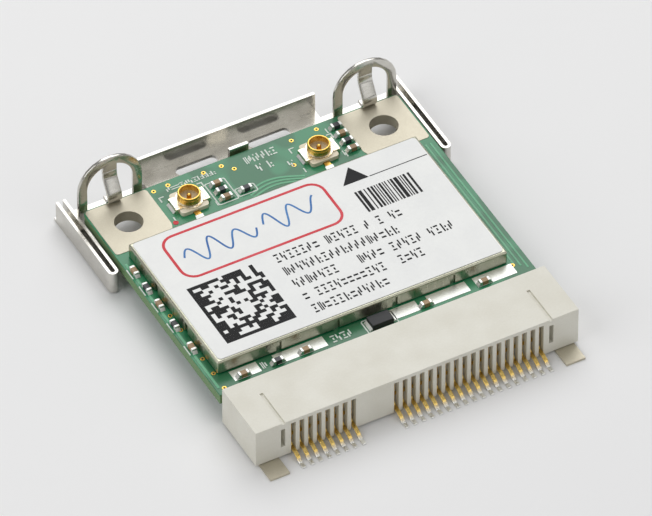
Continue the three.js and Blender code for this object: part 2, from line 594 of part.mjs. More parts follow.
const TAIL_Z = CONTACT_THICK / 2;
const UPPER_BUMP = CARD_TOP + COPPER + CONTACT_GAP + CONTACT_THICK / 2;
const LOWER_BUMP = CARD_LIFT - COPPER - CONTACT_GAP - CONTACT_THICK / 2;
const UPPER_ARM_Z = CARD_TOP + 0.42;
const UPRIGHT_Y = (POCKET_FRONT + POCKET_REAR) / 2;
const UPPER_PROFILE = [
  [SOCKET_FRONT - TAIL_REACH, TAIL_Z], [SOCKET_FRONT - 1.1, TAIL_Z], [SOCKET_FRONT - 0.6, 0.55],
  [UPRIGHT_Y, 0.6], [UPRIGHT_Y, UPPER_ARM_Z], [0.1, UPPER_ARM_Z], [0.8, UPPER_BUMP],
  [1.2, UPPER_BUMP + 0.2],
];
const LOWER_PROFILE = [
  [3.1, TAIL_Z], [1.55, TAIL_Z], [1.55, LOWER_ARM_Z], [-1.1, LOWER_ARM_Z], [-1.1, SLOT_FLOOR + 0.07],
  [0.8, LOWER_BUMP], [1.05, LOWER_BUMP - 0.18],
];
const CARRIER_HALF = CONTACT_THICK / 2;
for (const bank of BANKS) {
  const upper = [[UPRIGHT_Y - CARRIER_HALF, UPRIGHT_Y + CARRIER_HALF], [1.6, 1.6 + CARRIER]];
  const lower = [[-0.5, -0.5 + CARRIER], [LOWER_ARM_Z - CARRIER_HALF, LOWER_ARM_Z + CARRIER_HALF]];
  add(`upper_contacts_${bank.name}`, contactBank(bank, UPPER_PROFILE, upper), GOLD);
  add(`lower_contacts_${bank.name}`, contactBank(bank, LOWER_PROFILE, lower), GOLD);
}

// A hold-down: a foot on the host board and an upright in the housing's end.
function holdDown(sign) {
  const end = SOCKET_WIDTH / 2 - HOLD_INSET;
  const across = mirrored(sign, end - HOLD_WIDTH, end);
  const upright = SOCKET_FRONT + HOLD_BACK + HOLD_THICK / 2;
  const bent = strip(
    [[SOCKET_FRONT - TAIL_REACH, HOLD_THICK / 2], [upright, HOLD_THICK / 2], [upright, HOLD_TOP]],
    HOLD_THICK, HOLD_THICK / 2);
  return alongX(bent, across);
}

for (const { side, sign } of SIDES) add(`${side}_hold_down`, holdDown(sign), TIN);

// ---------------------------------------------------------------- the latch

const LOOP_Y = [CARD_LENGTH + REAR_GAP, CARD_LENGTH + REAR_GAP + SHEET];
const SIDE_X = CARD_WIDTH / 2 + SIDE_GAP;
const SIDE_OUT = SIDE_X + SIDE_STRIP + 2 * SIDE_BEND_R;

// The side spring, seen from above: forward beside the card, round, and back again.
function sideSpring(sign) {
  const near = SIDE_X + SIDE_STRIP / 2;
  const far = SIDE_OUT - SIDE_STRIP / 2;
  const bend = (far - near) / 2;
  const front = CARD_LENGTH - SIDE_REACH + bend;
  const round = [...Array(ARC_STEPS + 1).keys()].map((i) => {
    const turn = (Math.PI * i) / ARC_STEPS;
    return [near + bend - bend * Math.cos(turn), front - bend * Math.sin(turn)];
  });
  const line = [[near, LATCH_REAR - SHEET], ...round, [far, LATCH_REAR - SHEET]];
  const placed = line.map(([x, y]) => [sign * x, y]);
  return plate(strip(placed, SIDE_STRIP, 0), [SHEET / 2, SIDE_STRIP_TOP]);
}

// The fixed part: a shelf under the card's rear edge with a wall behind it, a leg and a foot
// at each end of it, and the side springs.
function latchBase() {
  const shelfTop = CARD_LIFT - COPPER - SHELF_GAP;
  const shelfY = [CARD_LENGTH - SHELF_UNDER, LATCH_REAR];
  const shelf = rounded([-SHELF_HALF, SHELF_HALF], shelfY, [SHELF_CORNER_R, SHELF_CORNER_R, 0, 0]);
  const slotY = (LOOP_Y[0] + LATCH_REAR - SHEET) / 2;
  for (const { sign } of SIDES) {
    const [from, to] = mirrored(sign, SHELF_SLOTS.from, SHELF_SLOTS.to);
    const r = SHELF_SLOTS.width / 2;
    shelf.holes.push(rounded([from, to], [slotY - r, slotY + r], [r, r, r, r]));
  }
  const stopFront = CARD_LENGTH + BACK_STOP.gap;
  const pieces = [
    plate(shelf, [shelfTop - SHEET, shelfTop]),
    block([-SHELF_HALF, SHELF_HALF], [LATCH_REAR - SHEET, LATCH_REAR], [shelfTop - SHEET, REAR_WALL_TOP]),
    block([-BACK_STOP.half, BACK_STOP.half], [stopFront, stopFront + SHEET],
      [shelfTop - SHEET, BACK_STOP.top]),
  ];
  for (const { sign } of SIDES) {
    const footY = [LOOP_Y[0], LATCH_REAR];
    pieces.push(
      block(mirrored(sign, SHELF_HALF - SHEET, SHELF_HALF), [LOOP_Y[0], LATCH_REAR], [0, shelfTop]),
      block(mirrored(sign, SHELF_HALF - SHEET, SIDE_OUT), footY, [0, SHEET]),
      sideSpring(sign),
    );
  }
  return join(pieces);
}

add("latch_base", latchBase(), SPRING_STEEL);

// A release loop: an arch behind the hole, with the root of the hook tongue under its crown.
function releaseLoop() {
  const inner = LOOP_HALF - LOOP_STRIP;
  const foot = SHEET + LOOP_FOOT_GAP;
  const spring = CARD_TOP + LOOP_RISE - LOOP_HALF; // where the legs end and the arch begins
  const root = Math.acos(TONGUE_HALF / inner); // where the tongue's root leaves the arch
  const rootEnd = spring + inner * Math.sin(root) - TONGUE_STUB;
  const shape = new THREE.Shape();
  shape.moveTo(-LOOP_HALF, foot);
  shape.lineTo(-inner, foot);
  shape.lineTo(-inner, spring);
  shape.absarc(0, spring, inner, Math.PI, Math.PI - root, true);
  shape.lineTo(-TONGUE_HALF, rootEnd);
  shape.lineTo(TONGUE_HALF, rootEnd);
  shape.absarc(0, spring, inner, root, 0, true);
  shape.lineTo(inner, foot);
  shape.lineTo(LOOP_HALF, foot);
  shape.lineTo(LOOP_HALF, spring);
  shape.absarc(0, spring, LOOP_HALF, 0, Math.PI, false);
  return { shape, rootEnd };
}

// The hook tongue: down from the arch and forward, then back under itself over the card's edge.
function hookTongue(top) {
  const y = (LOOP_Y[0] + LOOP_Y[1]) / 2;
  const under = CARD_TOP + COPPER + HOOK_GAP + SHEET / 2;
  const tip = CARD_LENGTH - HOOK_REACH + SHEET / 2;
  return strip(
    [[y, top], [y, top - 0.6], [tip + 0.05, under + 0.8], [tip, under + 0.3], [tip + 0.2, under], [y, under]],
    SHEET, SHEET);
}

for (const { side, sign } of SIDES) {
  const { shape, rootEnd } = releaseLoop();
  add(`${side}_release_loop`, alongY(shape, LOOP_Y).translate(sign * HOLE_X, 0, 0), SPRING_STEEL);
  const across = [sign * HOLE_X - TONGUE_HALF, sign * HOLE_X + TONGUE_HALF];
  add(`${side}_hook_tongue`, alongX(hookTongue(rootEnd), across), SPRING_STEEL);
}

// ---------------------------------------------------------------- the origin

// The contact tails and hold-down feet end the model at the front, and the latch at the rear.
adapter.position.y = -(SOCKET_FRONT - TAIL_REACH + LATCH_REAR) / 2;

export default adapter;
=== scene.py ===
# %% [markdown]
# # A half-length wireless card, its edge socket and its spring latch
#
# The card is a small green circuit board with a shield can on it. It sits in an ivory plastic
# socket at the front, and a stamped steel latch holds it down at the rear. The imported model
# gives every piece its place. Each cell below takes one piece or one finish.

# %% Load the frame
import json
import math
import random

import bmesh
import bpy
from mathutils import Matrix, Vector


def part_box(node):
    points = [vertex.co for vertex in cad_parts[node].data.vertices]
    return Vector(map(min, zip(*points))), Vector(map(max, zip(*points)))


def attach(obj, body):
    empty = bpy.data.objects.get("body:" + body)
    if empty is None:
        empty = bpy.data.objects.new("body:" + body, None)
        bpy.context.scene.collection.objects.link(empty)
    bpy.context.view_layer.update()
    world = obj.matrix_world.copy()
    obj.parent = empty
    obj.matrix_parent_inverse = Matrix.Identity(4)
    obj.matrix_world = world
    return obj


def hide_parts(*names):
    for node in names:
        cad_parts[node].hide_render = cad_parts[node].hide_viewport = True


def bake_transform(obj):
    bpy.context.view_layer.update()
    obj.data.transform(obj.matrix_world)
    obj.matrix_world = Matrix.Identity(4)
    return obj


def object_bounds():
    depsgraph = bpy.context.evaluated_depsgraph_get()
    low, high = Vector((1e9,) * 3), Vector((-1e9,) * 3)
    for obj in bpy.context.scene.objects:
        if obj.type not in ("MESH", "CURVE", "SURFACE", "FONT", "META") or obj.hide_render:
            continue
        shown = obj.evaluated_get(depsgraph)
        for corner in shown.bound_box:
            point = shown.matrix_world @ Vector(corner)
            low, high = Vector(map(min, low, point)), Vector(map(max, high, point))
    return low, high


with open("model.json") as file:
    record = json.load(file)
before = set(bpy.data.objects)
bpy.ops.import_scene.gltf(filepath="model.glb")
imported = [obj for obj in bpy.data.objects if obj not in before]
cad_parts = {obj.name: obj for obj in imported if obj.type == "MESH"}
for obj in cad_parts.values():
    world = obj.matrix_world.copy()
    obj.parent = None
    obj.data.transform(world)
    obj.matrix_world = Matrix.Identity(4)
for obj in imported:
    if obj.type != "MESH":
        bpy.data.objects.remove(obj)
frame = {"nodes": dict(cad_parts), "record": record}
cad_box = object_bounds()
MM = 0.001
print("the packed model has", len(frame["nodes"]), "nodes")


# %% [markdown]
# ## Names for places
#
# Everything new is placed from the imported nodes, so the places are worked out once: the card's
# faces, the can's lid, the label and the left pad. They are in millimetres, as on a drawing.

# %% Places
def spans(node):
    """A node's extent along x, y and z, in millimetres."""
    low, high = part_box(node)
    return [(a / MM, b / MM) for a, b in zip(low, high)]


def middle(span):
    return (span[0] + span[1]) / 2


CARD_X, CARD_Y, CARD_Z = spans("card_board")
LID_X, LID_Y, LID_Z = spans("shield_lid")
LABEL_X, LABEL_Y, LABEL_Z = spans("label")
LATCH_Z = spans("latch_base")[2]
PAD_X, PAD_Y = spans("left_corner_pad")[:2]
TOP, UNDER = CARD_Z[1], CARD_Z[0]
FLANGE_TOP = TOP + 0.5  # the upper face of a jack's flange
print("the card is", [round(b - a, 1) for a, b in (CARD_X, CARD_Y, CARD_Z)], "mm")


# %% [markdown]
# ## Small tools for materials
#
# A colour is written as the sRGB hex that a paint or plastic swatch would have, and turned to
# the linear light that the shader works in. One function adds a node with its settings and its
# links, which keeps each material to a few lines.

# %% Colour and node helpers
def hex_colour(code):
    """Linear RGBA from an sRGB hex value."""
    parts = [int(code[i:i + 2], 16) / 255 for i in (1, 3, 5)]
    return (*[p / 12.92 if p <= 0.04045 else ((p + 0.055) / 1.055) ** 2.4 for p in parts], 1)


def add_node(tree, kind, settings=None, inputs=None):
    """Adds a node. Each input is a value, or another node's output to link from."""
    made = tree.nodes.new(kind)
    for name, value in (settings or {}).items():
        setattr(made, name, value)
    for name, value in (inputs or {}).items():
        if isinstance(value, bpy.types.NodeSocket):
            tree.links.new(value, made.inputs[name])
        else:
            made.inputs[name].default_value = value
    return made


def start_material(name):
    """A new material with an output node and object coordinates to read."""
    print("finish:", name)
    material = bpy.data.materials.new(name)
    material.use_nodes = True
    tree = material.node_tree
    tree.nodes.clear()
    tree.nodes.new("ShaderNodeOutputMaterial")
    return material, tree, add_node(tree, "ShaderNodeTexCoord").outputs["Object"]


def finish_material(tree, shader):
    tree.links.new(shader.outputs["BSDF"], tree.nodes["Material Output"].inputs["Surface"])


def per(size_mm):
    """The texture scale at which a pattern's features are about that many millimetres."""
    return 1 / (size_mm * MM)


# A Mix node in colour mode has its factor, first and second colour at these sockets.
MIX_FACTOR, MIX_A, MIX_B, MIX_RESULT = 0, 6, 7, 2
print("mid grey is", round(hex_colour("#808080")[0], 3), "in linear light")


# %% [markdown]
# ## The green board
#
# The board is glass cloth in epoxy, printed with a glossy green solder mask. Copper under the
# mask shows as slightly lighter areas. Its cut edges are bare laminate: dull, yellower, and
# layered. The same material draws both: it is mask within a few hundredths of either face.

# %% Solder mask over glass laminate
POUR = 4.0  # copper areas are a few millimetres across
GLASS_PLY = 0.15
WEAVE = 0.5  # from one bundle of glass to the next
MASK_WRAP = 0.04  # how far the mask reaches over the broken edge
BAND_TURN = 2 * math.pi / 20  # a wave texture of scale 1 repeats after this length


def solder_mask(name, mask, mask_over_copper):
    material, tree, place = start_material(name)
    # Copper pours have soft borders under the mask.
    pours = add_node(tree, "ShaderNodeTexNoise", inputs={
        "Vector": place, "Scale": per(POUR), "Detail": 1.0})
    poured = add_node(tree, "ShaderNodeMapRange", inputs={
        "Value": pours.outputs["Fac"], "From Min": 0.47, "From Max": 0.53})
    face = add_node(tree, "ShaderNodeMix", {"data_type": "RGBA"}, {
        MIX_FACTOR: poured.outputs["Result"],
        MIX_A: hex_colour(mask), MIX_B: hex_colour(mask_over_copper)})
    # Glass plies show as lines along a cut edge.
    plies = add_node(tree, "ShaderNodeTexWave", {"bands_direction": "Z"}, {
        "Vector": place, "Scale": per(GLASS_PLY) * BAND_TURN, "Distortion": 2.0, "Detail": 2.0})
    edge = add_node(tree, "ShaderNodeMix", {"data_type": "RGBA"}, {
        MIX_FACTOR: plies.outputs["Fac"], MIX_A: hex_colour("#4c7446"), MIX_B: hex_colour("#86a173")})
    height = add_node(tree, "ShaderNodeSeparateXYZ", inputs={"Vector": place})
    from_middle = add_node(tree, "ShaderNodeMath", {"operation": "SUBTRACT"}, {
        0: height.outputs["Z"], 1: middle(CARD_Z) * MM})
    off_middle = add_node(tree, "ShaderNodeMath", {"operation": "ABSOLUTE"}, {0: from_middle.outputs[0]})
    is_face = add_node(tree, "ShaderNodeMath", {"operation": "GREATER_THAN"}, {
        0: off_middle.outputs[0], 1: ((TOP - UNDER) / 2 - MASK_WRAP) * MM})
    colour = add_node(tree, "ShaderNodeMix", {"data_type": "RGBA"}, {
        MIX_FACTOR: is_face.outputs[0],
        MIX_A: edge.outputs[MIX_RESULT], MIX_B: face.outputs[MIX_RESULT]})
    roughness = add_node(tree, "ShaderNodeMapRange", inputs={
        "Value": is_face.outputs[0], "To Min": 0.75, "To Max": 0.28})
    # The mask follows the weave of the cloth.
    weave = add_node(tree, "ShaderNodeTexNoise", inputs={
        "Vector": place, "Scale": per(WEAVE), "Detail": 3.0})
    bump = add_node(tree, "ShaderNodeBump", inputs={
        "Height": weave.outputs["Fac"], "Strength": 0.25, "Distance": 0.02 * MM})
    shader = add_node(tree, "ShaderNodeBsdfPrincipled", inputs={
        "Base Color": colour.outputs[MIX_RESULT], "Roughness": roughness.outputs["Result"],
        "Normal": bump.outputs["Normal"], "IOR": 1.52, "Coat Weight": 0.15, "Coat Roughness": 0.15})
    finish_material(tree, shader)
    return material


BOARD_GREEN = solder_mask("green_solder_mask", "#166a42", "#268257")
TRACE_GREEN = solder_mask("green_mask_over_trace", "#45a070", "#53ab7c")


# %% [markdown]
# ## Plated metals
#
# Tin, gold and bright spring steel differ in colour, in gloss and in the direction of their
# grain. One recipe covers them: two close colours mixed by a soft noise, as plating varies, and
# a fine stretched noise for the rolling marks. A metal keeps the shader's own IOR.

# %% Metal
PLATING_CLOUD = 1.5  # how far apart a plating's paler patches are
WET_EDGE = 0.2  # solder that has wetted gold fades out over this much height


def plated_metal(name, bright, dull, roughness, grain_mm, stretch=(1, 1, 1), marks=0.15, spread=0.3,
                 wetted=None):
    """Two close colours under a grain. Solder may have wetted it up to a height: (colour, height)."""
    material, tree, place = start_material(name)
    clouds = add_node(tree, "ShaderNodeTexNoise", inputs={
        "Vector": place, "Scale": per(PLATING_CLOUD), "Detail": 4.0})
    colour = add_node(tree, "ShaderNodeMix", {"data_type": "RGBA"}, {
        MIX_FACTOR: clouds.outputs["Fac"], MIX_A: hex_colour(bright), MIX_B: hex_colour(dull)})
    if wetted:
        solder_colour, up_to = wetted
        height = add_node(tree, "ShaderNodeSeparateXYZ", inputs={"Vector": place})
        wet = add_node(tree, "ShaderNodeMapRange", inputs={
            "Value": height.outputs["Z"], "From Min": up_to * MM, "From Max": (up_to + WET_EDGE) * MM,
            "To Min": 1.0, "To Max": 0.0})
        colour = add_node(tree, "ShaderNodeMix", {"data_type": "RGBA"}, {
            MIX_FACTOR: wet.outputs["Result"], MIX_A: colour.outputs[MIX_RESULT],
            MIX_B: hex_colour(solder_colour)})
    along = add_node(tree, "ShaderNodeMapping", inputs={"Vector": place, "Scale": stretch})
    grain = add_node(tree, "ShaderNodeTexNoise", inputs={
        "Vector": along.outputs["Vector"], "Scale": per(grain_mm), "Detail": 5.0})
    gloss = add_node(tree, "ShaderNodeMapRange", inputs={
        "Value": grain.outputs["Fac"], "From Min": 0.3, "From Max": 0.7,
        "To Min": roughness * (1 - spread), "To Max": roughness * (1 + spread)})
    bump = add_node(tree, "ShaderNodeBump", inputs={
        "Height": grain.outputs["Fac"], "Strength": marks, "Distance": 0.01 * MM})
    shader = add_node(tree, "ShaderNodeBsdfPrincipled", inputs={
        "Base Color": colour.outputs[MIX_RESULT], "Roughness": gloss.outputs["Result"],
        "Normal": bump.outputs["Normal"], "Metallic": 1.0})
    finish_material(tree, shader)
    return material


CONTACT_FOOT = 0.16  # solder has wetted a contact up to just above its foot
# Gold is warm and glossy. Where solder has wetted it, it turns silver.
GOLD = plated_metal("gold_plating", "#f3cc6e", "#dba94c", 0.26, 0.2, marks=0.05)
CONTACT_GOLD = plated_metal("gold_contact_with_tinned_foot", "#f9dd8b", "#e6bf66", 0.32, 0.2, marks=0.05,
                            wetted=("#f0f0ec", CONTACT_FOOT))
SHELL_GOLD = plated_metal("gold_ring_with_tinned_flange", "#f3cc6e", "#dba94c", 0.28, 0.2, marks=0.05,
                          wetted=("#efe4cb", FLANGE_TOP + 0.02))
# Tin left as plated is a warm matt grey. Tin that has melted as solder is whiter and smoother.
TIN = plated_metal("matte_tin_plating", "#d5cfbe", "#cac4b3", 0.58, 0.12, marks=0.05, spread=0.1)
SOLDER = plated_metal("reflowed_solder", "#f0f1ee", "#dadcd8", 0.4, 0.5, marks=0.05, spread=0.15)
# Rolled strip is grained along its length, so its noise is stretched tenfold that way.
SPRING_STEEL = plated_metal("bright_spring_steel", "#e2e0da", "#bebbb3", 0.22, 0.12, (0.1, 1, 1), 0.1)
CAN_STEEL = plated_metal("tinned_can_steel", "#cfcfbe", "#b4b39c", 0.34, 0.15, (1, 1, 0.1), 0.08)


# %% [markdown]
# ## Plastics, ceramics and inks
#
# These are all dielectric, so they share one recipe too: a body colour that drifts a little, a
# finer speckle from filler or glass fibre, and a bump for the skin the mould or the firing left.

# %% Dielectrics
DRIFT = 3.0  # how far apart the body colour's slow changes are


def moulded(name, body, drift, speckle_mm, roughness, ior=1.55, skin=0.1, speckle=0.35):
    material, tree, place = start_material(name)
    clouds = add_node(tree, "ShaderNodeTexNoise", inputs={
        "Vector": place, "Scale": per(DRIFT), "Detail": 2.0})
    specks = add_node(tree, "ShaderNodeTexNoise", inputs={
        "Vector": place, "Scale": per(speckle_mm), "Detail": 4.0})
    both = add_node(tree, "ShaderNodeMath", {"operation": "MULTIPLY_ADD"}, {
        0: specks.outputs["Fac"], 1: speckle, 2: clouds.outputs["Fac"]})
    share = add_node(tree, "ShaderNodeMapRange", inputs={
        "Value": both.outputs[0], "From Min": 0.45, "From Max": 0.85})
    colour = add_node(tree, "ShaderNodeMix", {"data_type": "RGBA"}, {
        MIX_FACTOR: share.outputs["Result"], MIX_A: hex_colour(body), MIX_B: hex_colour(drift)})
    gloss = add_node(tree, "ShaderNodeMapRange", inputs={
        "Value": specks.outputs["Fac"], "To Min": roughness * 0.85, "To Max": roughness * 1.15})
    bump = add_node(tree, "ShaderNodeBump", inputs={
        "Height": specks.outputs["Fac"], "Strength": skin, "Distance": 0.01 * MM})
    shader = add_node(tree, "ShaderNodeBsdfPrincipled", inputs={
        "Base Color": colour.outputs[MIX_RESULT], "Roughness": gloss.outputs["Result"],
        "Normal": bump.outputs["Normal"], "IOR": ior})
    finish_material(tree, shader)
    return material


# Glass-filled liquid-crystal polymer: off-white, matt, with short fibres of about 0.2 mm. The
# jacks' polymer is creamier and finer.
IVORY = moulded("ivory_glass_filled_polymer", "#e4e2d7", "#dbd8cb", 0.2, 0.5, 1.6, 0.3)
JACK_PLASTIC = moulded("cream_jack_polymer", "#f0e8d4", "#e2d8be", 0.15, 0.45)
# Chip epoxy is a matt near-black. Capacitors are bare tan ceramic, and resistors have a dark glaze.
EPOXY = moulded("black_moulding_epoxy", "#1c1d20", "#2a2b2e", 0.08, 0.6, 1.55, 0.4)
CAPACITOR_TAN = moulded("fired_tan_ceramic", "#a98a62", "#8d6f4c", 0.1, 0.5, 1.7)
RESISTOR_BLACK = moulded("resistor_glaze", "#26272c", "#35363c", 0.1, 0.35, 1.5)
# Label film is smooth and white, and every ink on it is matt and lies flat.
LABEL_FILM = moulded("white_polyester_label", "#eeefed", "#e8e9e8", 0.3, 0.45, 1.6, 0.12)
SILKSCREEN = moulded("white_silkscreen_ink", "#e6ece6", "#cfdad0", 0.1, 0.6)
RED_INK = moulded("red_label_ink", "#d3353f", "#dd4f59", 0.1, 0.6, 1.45)
BLACK_INK = moulded("black_label_ink", "#08090a", "#17181b", 0.08, 0.65, 1.4)
BLUE_PEN = moulded("blue_pen_ink", "#2a62a8", "#4d86c2", 0.25, 0.6, 1.45)
# A near-black green, painted on a disc as the shade inside a via's hole.
VIA_HOLE_SHADE = moulded("painted_via_hole_shade", "#12281c", "#1a3526", 0.1, 0.7)


# %% [markdown]
# ## Making pieces
#
# All modelling is done in millimetres in a bmesh and turned to metres at the end, because the
# bevel works badly on numbers as small as 0.00005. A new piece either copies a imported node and
# rounds its edges, or is built up from boxes, discs and ribbons.

# %% Piece helpers
def finish_piece(bm, name, body, material, stands_for=(), smooth=None, blend=None):
    """Turns a bmesh in millimetres into an object that rides on a body, or that is left in world space
    when a blend is given.
    """
    bmesh.ops.scale(bm, vec=(MM, MM, MM), verts=bm.verts)
    mesh = bpy.data.meshes.new(name)
    bm.to_mesh(mesh)
    bm.free()
    mesh.materials.clear()
    mesh.materials.append(material)
    mesh.polygons.foreach_set("material_index", [0] * len(mesh.polygons))
    mesh.polygons.foreach_set("use_smooth", [smooth is not None] * len(mesh.polygons))
    if smooth is not None:
        mesh.set_sharp_from_angle(angle=math.radians(smooth))
    piece = bpy.data.objects.new(name, mesh)
    bpy.context.scene.collection.objects.link(piece)
    if blend:
        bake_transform(piece)
    else:
        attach(piece, body)
    if stands_for:
        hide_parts(*stands_for)
    print(f"{name} has {len(mesh.polygons)} faces")
    return piece


def copied(node):
    """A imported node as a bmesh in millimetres, with its triangles merged into flat faces."""
    bm = bmesh.new()
    bm.from_mesh(frame["nodes"][node].data)
    bmesh.ops.scale(bm, vec=(1 / MM, 1 / MM, 1 / MM), verts=bm.verts)
    bmesh.ops.remove_doubles(bm, verts=bm.verts, dist=0.0005)
    bmesh.ops.dissolve_limit(bm, angle_limit=math.radians(0.5), verts=bm.verts, edges=bm.edges)
    return bm


def round_edges(bm, radius, segments=2, sharper_than=40, chosen=lambda edge: True):
    """Rounds every chosen edge that turns by more than that many degrees."""
    edges = [e for e in bm.edges if len(e.link_faces) == 2 and chosen(e)
             and e.calc_face_angle(0) > math.radians(sharper_than)]
    bmesh.ops.bevel(bm, geom=edges, offset=radius, offset_type="OFFSET", segments=segments,
                    profile=0.5, affect="EDGES", clamp_overlap=True, material=-1)


def box(bm, x, y, z, radius=0, segments=2):
    """Adds a box by its three spans, with its edges rounded."""
    size = Vector((x[1] - x[0], y[1] - y[0], z[1] - z[0]))
    centre = Matrix.Translation((middle(x), middle(y), middle(z)))
    made = bmesh.ops.create_cube(bm, size=1, matrix=centre @ Matrix.Diagonal((*size, 1)))
    if radius:
        edges = {e for v in made["verts"] for e in v.link_edges}
        bmesh.ops.bevel(bm, geom=list(edges), offset=radius, offset_type="OFFSET", segments=segments,
                        profile=0.5, affect="EDGES", clamp_overlap=True, material=-1)


def disc(bm, x, y, z, radius, sides=16):
    """Adds a short upright cylinder."""
    place = Matrix.Translation((x, y, middle(z)))
    bmesh.ops.create_cone(bm, cap_ends=True, segments=sides, radius1=radius, radius2=radius,
                          depth=z[1] - z[0], matrix=place)


def ribbon(bm, path, width, z):
    """Adds a flat ribbon of that width along a path, from height z[0] to z[1]."""
    points = [Vector((x, y, z[0])) for x, y in path]
    closed = (points[0] - points[-1]).length < 1e-6
    strip = bmesh.new()
    edge, side = None, None
    for i, point in enumerate(points):
        before = points[i - 1] if i else (points[-2] if closed else point)
        after = points[i + 1] if i + 1 < len(points) else (points[1] if closed else point)
        heading = (after - before).normalized()
        across = Vector((-heading.y, heading.x, 0)) * width / 2
        if edge is None:
            edge = strip.edges.new([strip.verts.new(point + across), strip.verts.new(point - across)])
        else:
            made = bmesh.ops.extrude_edge_only(strip, edges=[edge])["geom"]
            fresh = {g for g in made if isinstance(g, bmesh.types.BMVert)}
            edge = next(g for g in made if isinstance(g, bmesh.types.BMEdge) and set(g.verts) <= fresh)
            for vert in edge.verts:
                left = (vert.co - side[0]).dot(side[1]) > 0
                vert.co = point + across if left else point - across
        side = (point, across)
    bmesh.ops.remove_doubles(strip, verts=strip.verts, dist=1e-4)
    lifted = bmesh.ops.extrude_face_region(strip, geom=strip.faces[:])["geom"]
    raised = [g for g in lifted if isinstance(g, bmesh.types.BMVert)]
    bmesh.ops.translate(strip, vec=(0, 0, z[1] - z[0]), verts=raised)
    bmesh.ops.recalc_face_normals(strip, faces=strip.faces)
    mesh = bpy.data.meshes.new("ribbon")
    strip.to_mesh(mesh)
    strip.free()
    bm.from_mesh(mesh)
    bpy.data.meshes.remove(mesh)


def rounded_path(x, y, radius, steps=6):
    """The points round a rectangle with rounded corners, ending where they start."""
    points = []
    corners = [(x[1], y[0], -90), (x[1], y[1], 0), (x[0], y[1], 90), (x[0], y[0], 180)]
    for cx, cy, start in corners:
        centre_x = cx - radius if cx == x[1] else cx + radius
        centre_y = cy + radius if cy == y[0] else cy - radius
        for i in range(steps + 1):
            turn = math.radians(start + 90 * i / steps)
            points.append((centre_x + radius * math.cos(turn), centre_y + radius * math.sin(turn)))
    return points + points[:1]


print("piece helpers are ready")


# %% [markdown]
# ## The camera, floor and lights
#
# The card is seen from the front left and from above, through a very long lens, so that its
# parallel edges stay parallel. Three large soft lights stand in for a studio: one above and
# behind for the gloss on metal and mask, one from the left, and a weak one to fill the front.

# %% Camera and studio
AZIMUTH, ELEVATION = math.radians(-28.5), math.radians(44.7)
DISTANCE = 0.9
LENS = 600
SENSOR = 36


def from_direction(azimuth, elevation, distance):
    """A point that far away, where azimuth 0 looks along +Y."""
    level = math.cos(elevation) * distance
    return Vector((level * math.sin(azimuth), -level * math.cos(azimuth), distance * math.sin(elevation)))


def aim(thing, target):
    thing.rotation_euler = (target - thing.location).to_track_quat("-Z", "Y").to_euler()


low, high = [Vector(corner) for corner in cad_box]
LOOK_BELOW = 0.4  # the camera looks this far under the middle, to leave room for the shadow
TARGET = (low + high) / 2 - Vector((0, 0, LOOK_BELOW * MM))
camera_data = bpy.data.cameras.new("camera")
camera_data.lens = LENS
camera_data.sensor_width = SENSOR
camera_data.clip_start = 0.01
camera_data.clip_end = 20
camera = bpy.data.objects.new("camera", camera_data)
camera.location = TARGET + from_direction(AZIMUTH, ELEVATION, DISTANCE)
aim(camera, TARGET)
bpy.context.scene.collection.objects.link(camera)
bpy.context.scene.camera = camera


def floor_material():
    """Pale paper, whose tone drifts over about 60 mm."""
    material, tree, place = start_material("pale_floor")
    clouds = add_node(tree, "ShaderNodeTexNoise", inputs={
        "Vector": place, "Scale": per(60), "Detail": 2.0})
    colour = add_node(tree, "ShaderNodeMix", {"data_type": "RGBA"}, {
        MIX_FACTOR: clouds.outputs["Fac"], MIX_A: hex_colour("#f2f2f2"), MIX_B: hex_colour("#eeeeef")})
    shader = add_node(tree, "ShaderNodeBsdfPrincipled", inputs={
        "Base Color": colour.outputs[MIX_RESULT], "Roughness": 0.7})
    finish_material(tree, shader)
    return material


floor_mesh = bpy.data.meshes.new("floor")
floor_shape = bmesh.new()
bmesh.ops.create_grid(floor_shape, x_segments=1, y_segments=1, size=2)
floor_shape.to_mesh(floor_mesh)
floor_shape.free()
floor_mesh.materials.append(floor_material())
floor = bpy.data.objects.new("floor", floor_mesh)
bpy.context.scene.collection.objects.link(floor)

# Each light: its azimuth, its elevation, how many metres away it is, its width and its power.
LIGHTS = {
    "rear_softbox": (150, 55, 0.5, 0.45, 1.5),
    "left_softbox": (-95, 38, 0.5, 0.4, 0.85),
    "front_fill": (25, 30, 0.6, 0.5, 0.6),
}
for name, (azimuth, elevation, distance, width, power) in LIGHTS.items():
    data = bpy.data.lights.new(name, "AREA")
    data.shape = "SQUARE"
    data.size = width
    data.energy = power
    lamp = bpy.data.objects.new(name, data)
    lamp.location = from_direction(math.radians(azimuth), math.radians(elevation), distance)
    aim(lamp, Vector((0, 0, 0)))
    bpy.context.scene.collection.objects.link(lamp)

world = bpy.data.worlds.new("studio")
world.use_nodes = True
world.node_tree.nodes["Background"].inputs["Color"].default_value = hex_colour("#f3f3f2")
world.node_tree.nodes["Background"].inputs["Strength"].default_value = 0.3
bpy.context.scene.world = world
bpy.context.scene.view_settings.view_transform = "Standard"
print("camera", [round(c, 3) for c in camera.location])


# %% [markdown]
# ## Which body a node belongs to
#
# A piece that stands for a node rides on that node's body, which the imported record says.

# %% Bodies from the record
record = frame["record"]
BODY_OF = {node: body for body, nodes in record["behaviour"]["bodies"].items() for node in nodes}
print(len(BODY_OF), "nodes ride on", sorted(set(BODY_OF.values())))


def finer(node, material, radius, segments=2, smooth=None, **which_edges):
    """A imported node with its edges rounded: the shape is kept, and the light catches its edges."""
    bm = copied(node)
    round_edges(bm, radius, segments, **which_edges)
    return finish_piece(bm, f"{node}_surface", BODY_OF[node], material,
                        stands_for=[node], smooth=smooth)


